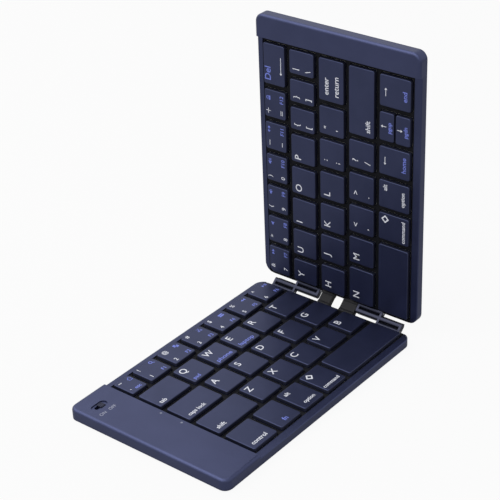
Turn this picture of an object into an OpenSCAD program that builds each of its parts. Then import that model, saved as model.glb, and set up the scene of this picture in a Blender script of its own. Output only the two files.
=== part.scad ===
// Folding keyboard, shown half open: the left half lies flat and the right half stands
// at the fold with its keys towards the typist. Two double-axis hinges join the halves.
// Each half is drawn flat in one shared half frame: x runs from its hinge axis to its
// outer end, y from the typist's side to the number row, z up from the feet.

/* [Case] */
// Depth of both halves, from front edge to back edge
case_depth = 99; // [96:0.1:104]
// Height of the key deck over the underside of the case
deck_height = 4.6; // [4.4:0.1:6]
// Height of the raised end caps over the underside of the case
cap_height = 6.4; // [6.2:0.1:8]
// Corner radius at the outer ends
end_corner_r = 4.5; // [3:0.5:10]
// Corner radius at the fold
fold_corner_r = 6; // [3:0.5:7]
// Chamfer along the outer edges
edge_chamfer = 0.4; // [0.1:0.1:0.6]
// Height of the parting line over the underside
cover_height = 1.3; // [1.1:0.1:1.6]
// Thickness of the floor of the bottom covers
floor_t = 0.7; // [0.5:0.1:0.9]
// Thickness of the key deck at its rim
deck_t = 1.4; // [1.2:0.1:1.5]
// Depth of the key bed below the rim
bed_depth = 0.6; // [0.2:0.1:0.6]
// Thickness of the side walls
wall_t = 1.2; // [0.8:0.1:1.3]
// Thickness of the front wall, which takes the screws
front_wall_t = 3.9; // [3.4:0.1:4.2]
// Height of the feet below the case
foot_height = 0.6; // [0.4:0.1:1.5]

/* [End caps] */
// Width of the left end cap, over the battery and the board
left_cap_width = 24.8; // [22:0.1:26]
// Width of the right end cap
right_cap_width = 12.5; // [9:0.1:15]
// Thickness of the top wall of the end caps
cap_top_t = 1; // [0.8:0.1:1.2]

/* [Keys] */
// Distance between the centres of two whole keys in a row
key_pitch = 18.5; // [17.5:0.1:18.5]
// Width of the esc key in the number row, gap included
esc_key_width = 13.85; // [12:0.05:18]
// Depth of the number row, gap included
number_row_depth = 16.55; // [15:0.05:18]
// Distance between the centres of the narrow keys by the right end cap
narrow_pitch = 15.4; // [14:0.1:15.5]
// Depth of the front row, gap included
front_row_depth = 21.1; // [18:0.05:22]
// Gap between the tops of two keys
key_gap = 3.3; // [2.4:0.1:3.6]
// Slope of the key sides, from base to top
key_draft = 0.2; // [0.1:0.05:0.4]
// Rise of the key tops over the deck
key_rise = 1.4; // [1:0.1:1.5]
// Height of a keycap
keycap_height = 2.2; // [1.8:0.1:2.3]
// Thickness of the top of a keycap
keycap_top_t = 0.8; // [0.5:0.1:0.9]
// Thickness of the skirt of a keycap
skirt_t = 1; // [0.7:0.1:1.2]
// Corner radius of the keycaps
key_corner_r = 1.2; // [0.8:0.1:1.5]
// Corner radius of the keys in the back corners of the fold
corner_key_r = 3; // [2:0.5:4]
// Chamfer round the top of a keycap
key_chamfer = 0.3; // [0.1:0.05:0.4]
// Travel of a key
key_travel = 1.4; // [1:0.1:1.4]
// Clearance between a keycap and its opening in the deck
opening_clear = 0.3; // [0.2:0.05:0.4]
// Distance from the fold edge to the first key
first_key = 2.4; // [2.2:0.1:3]
// Distance from the last key to the end cap
last_gap = 2.5; // [1.5:0.1:3]
// Distance from the back edge to the number row
back_margin = 4.5; // [3:0.1:5]
// Distance from the front edge to the front row
front_margin = 5.4; // [5.2:0.1:6]

/* [Hinge] */
// Angle of the hinge links over the desk, as shown
link_angle = 40; // [40:1:40]
// Height of the hinge axes over the underside of the case
axis_height = 3.2; // [3.1:0.1:3.4]
// Distance from the fold edge of a half to its hinge axis
edge_to_axis = 0.7; // [0.5:0.1:0.9]
// Gap between the end caps when the halves are shut
shut_gap = 0.2; // [0.1:0.1:0.6]
// Radius of the hinge barrels
barrel_r = 1.6; // [1.4:0.05:1.6]
// Radius of the hinge pins
pin_r = 0.7; // [0.5:0.05:0.9]
// Radial clearance of a pin in its barrel
pin_clear = 0.05; // [0.02:0.01:0.09]
// Distance from the middle of the fold to the outer end of a hinge
hinge_outer = 41.5; // [40:0.1:42]
// Distance from the middle of the fold to the middle of a hinge
hinge_middle = 27.5; // [27:0.1:28]
// Distance from the middle of the fold to the inner end of a hinge
hinge_inner = 12.6; // [12.4:0.1:14]
// Thickness of the arms that hold the pins
arm_t = 1.2; // [1:0.1:2]
// Play between an arm and a barrel, along the pin
end_play = 0.15; // [0.1:0.05:0.3]
// Width of the bar in the middle of a link
bar_width = 3; // [2:0.1:3]
// Thickness of the bar in the middle of a link
bar_t = 3; // [2.4:0.1:3.1]
// Corner radius of that bar, which looks like a third rod beside the barrels
bar_r = 1.2; // [0.3:0.1:1.2]
// Radius of the rounded ends of the hinge covers
cover_r = 1.9; // [1.6:0.05:1.9]
// Edges of the rear hinge cover, from the middle of the fold
rear_cover_inner = 3.5; // [3:0.1:5]
rear_cover_outer = 10.6; // [9:0.1:11]
// Edges of the front hinge cover, from the middle of the fold
front_cover_inner = 3.2; // [3:0.1:5]
front_cover_outer = 12.3; // [9:0.1:12.3]
// Clearance round the turning parts of a hinge in its notch
notch_clear = 0.25; // [0.2:0.05:0.3]
// Thickness of the bracket leaves under the support plate
leaf_t = 0.7; // [0.5:0.1:0.8]
// Length of the bracket leaves, from the hinge axis
leaf_length = 9; // [7:0.5:12]
// Thickness of the ribbon cable
ribbon_t = 0.2; // [0.1:0.05:0.3]

/* [Inside] */
// Thickness of the support plates
plate_t = 0.3; // [0.2:0.05:0.35]
// Thickness of the membranes
membrane_t = 0.3; // [0.2:0.05:0.3]
// Radius of a rubber dome at its foot
dome_r = 3.4; // [2.5:0.1:3.5]
// Height of a rubber dome, pressed flat enough for the full travel
dome_height = 1.3; // [0.8:0.1:1.3]
// Width and depth of a scissor frame
scissor_size = 11.4; // [10:0.1:12]
// Thickness of a scissor frame
scissor_t = 0.8; // [0.5:0.1:0.9]
// Width of the bars of a scissor frame
scissor_bar = 1.2; // [0.8:0.1:1.3]
// Width of the battery
battery_width = 19; // [14:0.1:20]
// Thickness of the battery
battery_t = 3.8; // [2:0.1:4]
// Gap between the battery and the circuit board
battery_gap = 1.2; // [0.5:0.1:3]
// Length, width and thickness of the circuit board
board_size = [19, 34, 0.8]; // [0.6:0.1:36]

/* [Switch and lamps] */
// Distance from the outer end to the middle of the power switch
switch_from_end = 9.9; // [9:0.1:12]
// Distance from the back edge to the middle of the power switch
switch_from_back = 11.4; // [10:0.1:12]
// Travel of the power switch
switch_travel = 2.5; // [1.5:0.1:2.5]
// Length and width of the finger recess round the switch
recess_size = [9.6, 4.8]; // [4:0.1:10]
// Depth of the finger recess
recess_depth = 0.55; // [0.3:0.05:0.6]
// Radius of an indicator lens
lens_r = 0.6; // [0.4:0.05:0.9]
// Distance from the left end cap's inner edge to the lenses
lens_inset = 1.9; // [1.5:0.1:3]
// Distances from the back edge to the two lenses
lens_from_back = [39.8, 52.9]; // [30:0.1:60]

/* [Hidden] */
$fn = 48;
case_color = [0.19, 0.21, 0.33];
cover_color = [0.15, 0.16, 0.25];
key_color = [0.16, 0.17, 0.26];
metal_color = [0.36, 0.37, 0.41];

// Each row of keys: width of the cell at the fold, number of whole keys after it,
// number of narrow keys after those. The last cell takes what is left.
front_row = 4;
left_fold_widths = [19.2, 25.9, 23.4, 18.6, 49.3];
left_whole_keys = [5, 4, 4, 4, 3];
right_fold_widths = [20, 17.1, 19.5, 24.3, 44.1];
right_whole_keys = [5, 4, 5, 4, 4];
right_narrow_keys = [0, 2, 0, 0, 0];
left_rows = [for (r = [0 : front_row]) [left_fold_widths[r], left_whole_keys[r], 0]];
right_rows = [
    for (r = [0 : front_row]) [right_fold_widths[r], right_whole_keys[r], right_narrow_keys[r]]
];
up_down_key = 4;

// Heights over the desk
case_z = foot_height;
floor_z = case_z + floor_t;
parting_z = case_z + cover_height;
deck_z = case_z + deck_height;
cap_z = case_z + cap_height;
axis_z = case_z + axis_height;
plate_z = floor_z + leaf_t + 0.2;
membrane_z = plate_z + plate_t;
switch_plane_z = membrane_z + membrane_t;
key_top_z = deck_z + key_rise;
key_base_z = key_top_z - keycap_height;

// Places in the half frame
fold_x = edge_to_axis;
key_block = left_fold_widths[0] + left_whole_keys[0] * key_pitch + esc_key_width;
half_length = key_block + last_gap - key_gap / 2 + left_cap_width;
end_x = fold_x + half_length;
back_y = case_depth / 2;
left_cap_x = end_x - left_cap_width;
right_cap_x = end_x - right_cap_width;
first_cell = first_key - key_gap / 2;
row_back_y = back_y - back_margin + key_gap / 2;
row_front_y = -back_y + front_margin - key_gap / 2;
letter_back_y = row_back_y - number_row_depth;
row_pitch = (letter_back_y - row_front_y - front_row_depth) / (front_row - 1);
switch_x = end_x - switch_from_end;
switch_y = back_y - switch_from_back;
board_x = end_x - wall_t - 0.6 - board_size[0];
board_y = back_y - wall_t - 1.2 - board_size[1];
stem_size = [3, 2];
knob_size = [4.2, 3.4];
socket_size = [7.6, 5.4, 2.6];
socket_x = left_cap_x + (left_cap_width - socket_size[0]) / 2;
screw_r = 0.6;
screw_head_r = 1.3;
screw_head_h = 0.6;
boss_r = 2;
screw_y = -back_y + front_wall_t / 2;
screw_inset = 9;
boss_inset = wall_t + boss_r + 0.8;
boss_x = end_x - boss_inset;
boss_y = back_y - boss_inset;
battery_y = -boss_y + boss_r + 0.8;
battery_length = board_y - battery_gap - battery_y;
front_tip_z = deck_z - 1.2;
cap_tip_z = cap_z - 2.2;

// The hinge
axis_gap = 2 * (cap_height - axis_height) + shut_gap;
right_axis_x = axis_gap * cos(link_angle);
right_axis_z = axis_z + axis_gap * sin(link_angle);
notch_x = max(barrel_r + notch_clear, fold_x + wall_t + 0.05);
cover_notch_x = max(cover_r + notch_clear, fold_x + wall_t + 0.05);

// The left hinge axis, placed so that the part is centred over its own footprint
pivot_x = (end_x - right_axis_x - axis_z) / 2;

// ---- Frames ---------------------------------------------------------------------
module on_left() translate([pivot_x, 0, 0]) mirror([1, 0, 0]) children();

module on_right()
    translate([pivot_x + right_axis_x, 0, right_axis_z]) rotate([0, -90, 0])
        translate([0, 0, -axis_z]) children();

module on_link() translate([pivot_x, 0, axis_z]) rotate([0, -link_angle, 0]) children();

// Extrudes a drawing of the xz plane from y0 to y1
module along_y(y0, y1) translate([0, y1, 0]) rotate([90, 0, 0]) linear_extrude(y1 - y0) children();

// Extrudes a drawing of the yz plane from x0 to x1
module along_x(x0, x1)
    translate([x0, 0, 0]) rotate([90, 0, 90]) linear_extrude(x1 - x0) children();

// Both hinges are mirror images across the middle of the fold
module at_both_hinges() {
    children();
    mirror([0, 1, 0]) children();
}

// ---- Shared shapes --------------------------------------------------------------
// Rectangle with one corner radius for each corner, in the order of the quadrants:
// high x high y, low x high y, low x low y, high x low y
module outline(x0, x1, y0, y1, radii) {
    corners = [[x1, y1, 1, 1], [x0, y1, -1, 1], [x0, y0, -1, -1], [x1, y0, 1, -1]];
    difference() {
        translate([x0, y0]) square([x1 - x0, y1 - y0]);
        for (i = [0 : 3])
            if (radii[i] > 0) translate([corners[i][0], corners[i][1]])
                mirror([corners[i][2] > 0 ? 1 : 0, 0]) mirror([0, corners[i][3] > 0 ? 1 : 0])
                    difference() {
                        translate([-1, -1]) square(radii[i] + 1);
                        translate([radii[i], radii[i]]) circle(radii[i], $fn = 64);
                    }
    }
}

// Section of a slab from z0 to z1 whose right edge at w is chamfered
module edge_section(w, z0, z1, low, high)
    polygon([[0, z0], [w - low, z0], [w, z0 + low], [w, z1 - high], [w - high, z1], [0, z1]]);

// Slab with rounded corners and chamfered outer edges: radius ra at the low x end
// and rb at the high x end, chamfers low and high
module slab(x0, x1, z0, z1, ra, rb, low, high) {
    along_x(x0 + ra, x1 - rb) for (side = [0, 1]) mirror([side, 0]) edge_section(back_y, z0, z1, low, high);
    if (ra > 0) slab_end(x0, ra, z0, z1, low, high, -1);
    if (rb > 0) slab_end(x1, rb, z0, z1, low, high, 1);
}

module slab_end(x, r, z0, z1, low, high, side) {
    translate([x - side * r, 0, 0]) mirror([side < 0 ? 1 : 0, 0, 0]) {
        along_y(-back_y + r, back_y - r) edge_section(r, z0, z1, low, high);
        for (s = [0, 1]) mirror([0, s, 0]) translate([0, back_y - r, 0])
            rotate_extrude(angle = 90, $fn = 96) edge_section(r, z0, z1, low, high);
    }
}

module box(x0, x1, y0, y1, z0, z1) translate([x0, y0, z0]) cube([x1 - x0, y1 - y0, z1 - z0]);

// ---- Key layout -----------------------------------------------------------------
// Cell borders of a row, measured from the fold edge
function borders(row, block_end) = concat(
    [first_cell],
    [for (i = [0 : row[1]]) row[0] + i * key_pitch],
    [for (i = [1 : 1 : row[2]]) row[0] + row[1] * key_pitch + i * narrow_pitch],
    [block_end]
);
function key_count(row) = row[1] + row[2] + 2;
function row_back(r) = r == 0 ? row_back_y : letter_back_y - (r - 1) * row_pitch;
function row_front(r) = r == front_row ? row_front_y : row_back(r + 1);
function block_end(cap_x) = cap_x - fold_x - last_gap + key_gap / 2;

// Half of the gap that lies round the cell, at the base of the keys
base_inset = key_gap / 2 - key_draft;

// Calls its children once for the cell of one key, with the cell as $cell
module cell(rows, cap_x, r, i, part = 0) {
    b = borders(rows[r], block_end(cap_x));
    middle = (row_back(r) + row_front(r)) / 2;
    split = key_gap / 2 - split_gap / 2;
    $cell = [
        fold_x + b[i], fold_x + b[i + 1],
        part == 1 ? middle - split : row_front(r),
        part == -1 ? middle + split : row_back(r)
    ];
    $corner_key = r == 0 && i == 0;
    children();
}
// Gap between the tops of the up key and the down key
split_gap = 1;

module every_cell(rows, cap_x, split_key)
    for (r = [0 : front_row]) for (i = [0 : key_count(rows[r]) - 1])
        if (r == front_row && i == split_key) {
            cell(rows, cap_x, r, i, 1) children();
            cell(rows, cap_x, r, i, -1) children();
        } else cell(rows, cap_x, r, i) children();

// Outline of the key in the present cell, grown by a margin
module key_outline(grow, r) outline(
    $cell[0] + base_inset - grow, $cell[1] - base_inset + grow,
    $cell[2] + base_inset - grow, $cell[3] - base_inset + grow,
    [r, $corner_key ? corner_key_r + grow : r, r, r]
);

// Section of a keycap of base width w: sloping sides, chamfered top
module cap_section(w)
    polygon([
        [-w / 2, key_base_z], [w / 2, key_base_z],
        [w / 2 - key_draft, key_top_z - key_chamfer],
        [w / 2 - key_draft - key_chamfer, key_top_z],
        [-w / 2 + key_draft + key_chamfer, key_top_z],
        [-w / 2 + key_draft, key_top_z - key_chamfer]
    ]);

module keycap() {
    w = $cell[1] - $cell[0] - 2 * base_inset;
    d = $cell[3] - $cell[2] - 2 * base_inset;
    mid = [($cell[0] + $cell[1]) / 2, ($cell[2] + $cell[3]) / 2];
    difference() {
        intersection() {
            translate([0, 0, key_base_z]) linear_extrude(keycap_height) key_outline(0, key_corner_r);
            translate([mid[0], 0, 0]) along_y($cell[2], $cell[3]) cap_section(w);
            translate([0, mid[1], 0]) along_x($cell[0], $cell[1]) cap_section(d);
        }
        translate([0, 0, key_base_z - 1])
            linear_extrude(keycap_height - keycap_top_t + 1) key_outline(-skirt_t, 0.5);
    }
}

module left_key(r, i) color(key_color) on_left() cell(left_rows, left_cap_x, r, i) keycap();

module right_key(r, i, part = 0)
    color(key_color) on_right() cell(right_rows, right_cap_x, r, i, part) keycap();

// ---- Case of one half -----------------------------------------------------------
// Room for the turning parts of the hinges, cut into the fold edge from z0 up. Each half
// is open only where its own barrels and the arms beside them lie
module hinge_notches(z0, span) {
    at_both_hinges() box(-9, notch_x, span[0] - notch_clear, span[1] + notch_clear, z0, cap_z);
    box(-9, cover_notch_x, rear_cover_inner - notch_clear, rear_cover_outer + notch_clear, z0, cap_z);
    box(-9, cover_notch_x, -front_cover_outer - notch_clear, notch_clear - front_cover_inner, z0, cap_z);
}

module front_screw_places(cap_x) {
    first = fold_x + screw_inset;
    last = cap_x - screw_inset;
    for (x = [first, (first + last) / 2, last]) translate([x, screw_y, 0]) children();
}

module boss_places() for (side = [-1, 1]) translate([boss_x, side * boss_y, 0]) children();

module foot_places() {
    for (x = [fold_x + 14, end_x - 16], side = [-1, 1])
        translate([x, side * (back_y - 9), 0]) children();
}

module foot_outline(grow) outline(-7 - grow, 7 + grow, -2.2 - grow, 2.2 + grow,
    [2.1, 2.1, 2.1, 2.1]);

foot_sink = 0.2;

module bottom_cover(cap_x, span) difference() {
    union() {
        difference() {
            slab(fold_x, end_x, case_z, parting_z, fold_corner_r, end_corner_r, edge_chamfer, 0);
            translate([0, 0, floor_z]) linear_extrude(cover_height)
                outline(fold_x + wall_t, end_x - wall_t, -back_y + front_wall_t, back_y - wall_t,
                    [end_corner_r - wall_t, fold_corner_r - wall_t, 1, end_corner_r - front_wall_t]);
        }
        // Ribs that carry the support plate
        for (y = [-36 : 18 : 36])
            box(leaf_length + 3, cap_x - 7, y - 0.5, y + 0.5, floor_z - 0.1, plate_z);
        boss_places() translate([0, 0, floor_z - 0.1])
            cylinder(r = boss_r, h = parting_z - floor_z + 0.1);
        // Posts that locate the bracket leaves
        leaf_posts() cylinder(r = post_r, h = floor_z + leaf_t);
    }
    hinge_notches(floor_z, span);
    front_screw_places(cap_x) screw_hole();
    boss_places() screw_hole();
    foot_places() translate([0, 0, case_z - 1]) linear_extrude(foot_sink + 1) foot_outline(0);
}

module screw_hole() {
    translate([0, 0, case_z - 1]) cylinder(r = screw_head_r, h = screw_head_h + 1);
    cylinder(r = screw_r, h = parting_z + 1);
}

post_r = 0.7;

module leaf_posts() for (y = [-34.5, -20, 20, 34.5])
    translate([leaf_length - 2, y, floor_z - 0.2]) translate([0, 0, -floor_z + 0.2]) children();

module top_case(rows, cap_x, span, split_key = -1) difference() {
    slab(fold_x, cap_x, parting_z, deck_z, fold_corner_r, 0, 0, edge_chamfer);
    // Hollow under the deck
    translate([0, 0, parting_z - 1]) linear_extrude(deck_z - deck_t - parting_z + 1)
        outline(fold_x + wall_t, cap_x + 1, -back_y + front_wall_t, back_y - wall_t,
            [0, fold_corner_r - wall_t, 1, 0]);
    // Key bed and the openings of the keys
    translate([0, 0, deck_z - bed_depth]) linear_extrude(bed_depth + 1)
        outline(-1, cap_x + 1, row_front_y + 0.3, row_back_y - 0.3,
            [0, fold_corner_r - 1, 0.5, 0]);
    translate([0, 0, deck_z - deck_t - 1]) linear_extrude(deck_t + 2)
        every_cell(rows, cap_x, split_key) key_outline(opening_clear, key_corner_r);
    hinge_notches(parting_z - 1, span);
    front_screw_places(cap_x) cylinder(r = screw_r, h = front_tip_z);
}

module end_cap(cap_x) difference() {
    union() {
        difference() {
            slab(cap_x, end_x, parting_z, cap_z, 0, end_corner_r, 0, edge_chamfer);
            translate([0, 0, parting_z - 1]) linear_extrude(cap_z - cap_top_t - parting_z + 1)
                outline(cap_x + wall_t, end_x - wall_t, -back_y + wall_t, back_y - wall_t,
                    [end_corner_r - wall_t, 0, 0, end_corner_r - wall_t]);
        }
        boss_places() translate([0, 0, parting_z]) cylinder(r = boss_r, h = cap_z - 0.2 - parting_z);
    }
    boss_places() cylinder(r = screw_r, h = cap_tip_z);
}

module screws(cap_x) {
    front_screw_places(cap_x) screw(front_tip_z);
    boss_places() screw(cap_tip_z);
}

module screw(tip_z) translate([0, 0, case_z]) difference() {
    union() {
        cylinder(r = screw_head_r, h = screw_head_h);
        cylinder(r = screw_r, h = tip_z - case_z);
    }
    for (turn = [0, 90]) rotate(turn) box(-0.7, 0.7, -0.15, 0.15, -1, 0.3);
}

module feet() foot_places() linear_extrude(case_z + foot_sink) foot_outline(0);

// Plates under the keys, from the fold to the end cap
module sheet(cap_x, z, t, inset) translate([0, 0, z]) linear_extrude(t)
    outline(fold_x + wall_t + 0.3 + inset, cap_x - 0.4 - inset,
        -back_y + front_wall_t + 0.3 + inset, back_y - wall_t - 0.3 - inset, [1, 4, 1, 1]);

module support_plate(cap_x) difference() {
    sheet(cap_x, plate_z, plate_t, 0);
    at_both_hinges() box(0, cover_notch_x + 0.2, -1, hinge_outer + 0.6, 0, cap_z);
}

module membrane(cap_x) difference() {
    sheet(cap_x, membrane_z, membrane_t, 0.4);
    at_both_hinges() box(0, cover_notch_x + 0.4, -1, hinge_outer + 0.6, 0, cap_z);
}

// Room under the keycap of the present cell, from its middle
function half_room() = [
    ($cell[1] - $cell[0]) / 2 - base_inset - skirt_t - 0.3,
    ($cell[3] - $cell[2]) / 2 - base_inset - skirt_t - 0.3
];

module in_cell() translate([($cell[0] + $cell[1]) / 2, ($cell[2] + $cell[3]) / 2, switch_plane_z])
    children();

module dome() {
    room = half_room();
    foot = min(dome_r, min(room) - scissor_bar - 0.2);
    in_cell() rotate_extrude($fn = 32)
        polygon([
            [0, 0], [foot, 0], [foot * 0.62, dome_height * 0.8],
            [foot * 0.5, dome_height], [0, dome_height]
        ]);
}

module frame_outline(half, r) outline(-half[0], half[0], -half[1], half[1], [r, r, r, r]);

module scissor() {
    room = half_room();
    half = [min(scissor_size / 2, room[0]), min(scissor_size / 2, room[1])];
    in_cell() linear_extrude(scissor_t) difference() {
        frame_outline(half, 1);
        frame_outline(half - [scissor_bar, scissor_bar], 0.4);
    }
}

// ---- Hinges ---------------------------------------------------------------------
// Section of a link arm: rounded round each axis in the list, joined to the middle bar
module arm_section(axes) {
    for (x = axes) {
        translate([x, 0]) circle(barrel_r);
        translate([min(x, axis_gap / 2), -bar_t / 2]) square([abs(axis_gap / 2 - x), bar_t]);
    }
}

module bar_section() outline(axis_gap / 2 - bar_width / 2, axis_gap / 2 + bar_width / 2,
    -bar_t / 2, bar_t / 2, [bar_r, bar_r, bar_r, bar_r]);

module link() difference() {
    union() {
        along_y(hinge_inner, hinge_outer) bar_section();
        along_y(hinge_outer - arm_t, hinge_outer) arm_section([0]);
        along_y(hinge_middle - arm_t / 2, hinge_middle + arm_t / 2) arm_section([0, axis_gap]);
        along_y(hinge_inner, hinge_inner + arm_t) arm_section([axis_gap]);
    }
    lower_pin(1);
    upper_pin(1);
}

module lower_pin(over) along_y(hinge_middle - arm_t / 2 - over, hinge_outer + over) circle(pin_r);

module upper_pin(over) translate([axis_gap, 0, 0])
    along_y(hinge_inner - over, hinge_middle + arm_t / 2 + over) circle(pin_r);

// Barrel and leaf between y0 and y1, in the half frame
module bracket(y0, y1) difference() {
    union() {
        translate([0, 0, axis_z]) along_y(y0, y1) circle(barrel_r);
        box(0.2, barrel_r, y0, y1, floor_z, axis_z);
        box(0.2, leaf_length, y0, y1, floor_z, floor_z + leaf_t);
    }
    translate([0, 0, axis_z]) along_y(y0 - 1, y1 + 1) circle(pin_r + pin_clear);
    leaf_posts() cylinder(r = post_r, h = axis_z);
}

module hinge_cover(y0, y1, slot) difference() {
    along_y(y0, y1) {
        circle(cover_r);
        translate([axis_gap, 0]) circle(cover_r);
        translate([0, -bar_t / 2]) square([axis_gap, bar_t]);
    }
    if (slot) box(-3, axis_gap + 3, y0 + 1, y1 - 1, -ribbon_t / 2, ribbon_t / 2);
}

// ---- Sub-parts ------------------------------------------------------------------
// Stretches of the fold edge that hold the barrels of the left and the right half
left_span = [hinge_middle - arm_t / 2, hinge_outer];
right_span = [hinge_inner, hinge_middle + arm_t / 2];

module left_bottom_cover() color(cover_color) on_left() bottom_cover(left_cap_x, left_span);

module left_top_case() color(case_color) on_left() top_case(left_rows, left_cap_x, left_span);

module left_end_cap() color(case_color) on_left() difference() {
    end_cap(left_cap_x);
    // Finger recess and slot of the power switch
    translate([switch_x, switch_y, cap_z - recess_depth]) linear_extrude(recess_depth + 1)
        stadium(recess_size);
    translate([switch_x, switch_y, 0]) linear_extrude(cap_z + 1)
        stadium([stem_size[0] + switch_travel + 0.4, stem_size[1] + 0.4]);
    lens_places() cylinder(r = lens_r, h = cap_z);
    // Mouth of the charging socket
    box(socket_x - 0.1, socket_x + socket_size[0] + 0.1, back_y - wall_t - 1, back_y + 1,
        board_top_z - 0.1, board_top_z + socket_size[2] + 0.1);
}

module stadium(size) outline(-size[0] / 2, size[0] / 2, -size[1] / 2, size[1] / 2,
    [for (i = [0 : 3]) size[1] / 2 - 0.01]);

module lens_places() for (y = lens_from_back) translate([left_cap_x + lens_inset, back_y - y, 0]) children();

module left_support_plate() color("silver") on_left() support_plate(left_cap_x);

module left_membrane() color("ivory") on_left() membrane(left_cap_x);

module left_domes() color("gainsboro") on_left() every_cell(left_rows, left_cap_x, -1) dome();

module left_scissors() color("white") on_left() every_cell(left_rows, left_cap_x, -1) scissor();

module left_feet() color([0.1, 0.1, 0.1]) on_left() feet();

module left_screws() color(metal_color) on_left() screws(left_cap_x);

module left_hinge_brackets() color(metal_color) on_left() at_both_hinges()
    bracket(left_span[0] + arm_t + end_play, left_span[1] - arm_t - end_play);

module battery() color([0.75, 0.76, 0.78]) on_left()
    translate([end_x - wall_t - 1.2 - battery_width, battery_y, floor_z])
        linear_extrude(battery_t) outline(0, battery_width, 0, battery_length, [1, 1, 1, 1]);

board_z = plate_z;
board_top_z = board_z + board_size[2];
board_corner_r = max(end_corner_r - wall_t, 1);

module control_board() color([0.1, 0.35, 0.2]) on_left() translate([board_x, board_y, 0]) {
    difference() {
        union() {
            translate([0, 0, board_z]) linear_extrude(board_size[2])
                outline(0, board_size[0], 0, board_size[1], [board_corner_r, 1, 1, 1]);
            // Controller, radio module and charging chip
            box(3, 8, 4, 9, board_z, board_top_z + 0.9);
            box(10, 16, 3, 12, board_z, board_top_z + 1.2);
            box(3, 6, 13, 16, board_z, board_top_z + 0.7);
        }
        // Corner cut round the screw boss
        translate([boss_x - board_x, boss_y - board_y, 0]) cylinder(r = boss_r + 0.5, h = cap_z);
    }
    // Standoffs on the floor
    for (x = [2, board_size[0] - 3.4], y = [1, board_size[1] - 9])
        box(x, x + 1.4, y, y + 1.4, floor_z, board_z);
}

module charge_socket() color("silver") on_left()
    translate([socket_x, back_y - socket_size[1] - 0.3, board_top_z]) difference() {
        cube(socket_size);
        box(0.3, socket_size[0] - 0.3, 0.6, 9, 0.3, socket_size[2] - 0.3);
    }

module switch_body() color([0.7, 0.7, 0.72]) on_left() translate([switch_x, switch_y, board_top_z])
    difference() {
        box(-4.2, 4.2, -1.8, 1.8, 0, 1.5);
        box(-3.1, 3.1, -1.2, 1.2, 0.8, 2);
    }

// Shown at the end of its travel nearest the keys
module power_slider() color([0.08, 0.08, 0.1]) on_left()
    translate([switch_x - switch_travel / 2, switch_y, 0]) {
        translate([0, 0, board_top_z + 1.1])
            linear_extrude(cap_z - 0.1 - board_top_z - 1.1) stadium(stem_size);
        difference() {
            box(-stem_size[0] / 2, stem_size[0] / 2, -knob_size[1] / 2, knob_size[1] / 2,
                cap_z - recess_depth + 0.05, cap_z - 0.05);
            for (x = [-0.9, 0, 0.9]) box(x - 0.15, x + 0.15, -9, 9, cap_z - 0.25, cap_z);
        }
    }

module indicator_lenses() color("white") on_left() lens_places()
    translate([0, 0, cap_z - cap_top_t]) cylinder(r = lens_r, h = cap_top_t);

module rear_link() color(metal_color) on_link() link();

module front_link() color(metal_color) on_link() mirror([0, 1, 0]) link();

module hinge_pins() color("silver") on_link() at_both_hinges() {
    lower_pin(0);
    upper_pin(0);
}

module hinge_covers() color([0.2, 0.2, 0.22]) on_link() {
    hinge_cover(rear_cover_inner, rear_cover_outer, true);
    hinge_cover(-front_cover_outer, -front_cover_inner, false);
}

module ribbon_cable() color("darkorange") on_link()
    box(1 - cover_r, axis_gap + cover_r - 1, rear_cover_inner + 1.1, rear_cover_outer - 1.1,
        -ribbon_t / 2 + 0.02, ribbon_t / 2 - 0.02);

module right_bottom_cover() color(cover_color) on_right() bottom_cover(right_cap_x, right_span);

module right_top_case() color(case_color) on_right()
    top_case(right_rows, right_cap_x, right_span, up_down_key);

module right_end_cap() color(case_color) on_right() end_cap(right_cap_x);

module right_support_plate() color("silver") on_right() support_plate(right_cap_x);

module right_membrane() color("ivory") on_right() membrane(right_cap_x);

module right_domes() color("gainsboro") on_right() every_cell(right_rows, right_cap_x, up_down_key) dome();

module right_scissors() color("white") on_right()
    every_cell(right_rows, right_cap_x, up_down_key) scissor();

module right_feet() color([0.1, 0.1, 0.1]) on_right() feet();

module right_screws() color(metal_color) on_right() screws(right_cap_x);

module right_hinge_brackets() color(metal_color) on_right() at_both_hinges()
    bracket(right_span[0] + arm_t + end_play, right_span[1] - arm_t - end_play);

// ---- Keys -----------------------------------------------------------------------
// left_key and right_key take the row from the back and the place from the fold
module key_esc() left_key(0, 6);
module keys_1_to_6() for (i = [0 : 5]) left_key(0, i);
module key_tab() left_key(1, 5);
module keys_q_to_t() for (i = [0 : 4]) left_key(1, i);
module key_caps_lock() left_key(2, 5);
module keys_a_to_g() for (i = [0 : 4]) left_key(2, i);
module key_left_shift() left_key(3, 5);
module keys_z_to_b() for (i = [0 : 4]) left_key(3, i);
module key_control() left_key(4, 4);
module key_fn() left_key(4, 3);
module key_left_option() left_key(4, 2);
module key_left_command() left_key(4, 1);
module key_left_space() left_key(4, 0);
module keys_7_to_equals() for (i = [0 : 5]) right_key(0, i);
module key_delete() right_key(0, 6);
module keys_y_to_p() for (i = [0 : 4]) right_key(1, i);
module keys_square_brackets() for (i = [5 : 6]) right_key(1, i);
module key_backslash() right_key(1, 7);
module keys_h_to_quote() for (i = [0 : 5]) right_key(2, i);
module key_enter() right_key(2, 6);
module keys_n_to_slash() for (i = [0 : 4]) right_key(3, i);
module key_right_shift() right_key(3, 5);
module key_right_space() right_key(4, 0);
module key_right_command() right_key(4, 1);
module key_right_option() right_key(4, 2);
module key_arrow_left() right_key(4, 3);
module key_arrow_up() right_key(4, up_down_key, 1);
module key_arrow_down() right_key(4, up_down_key, -1);
module key_arrow_right() right_key(4, 5);

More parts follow.
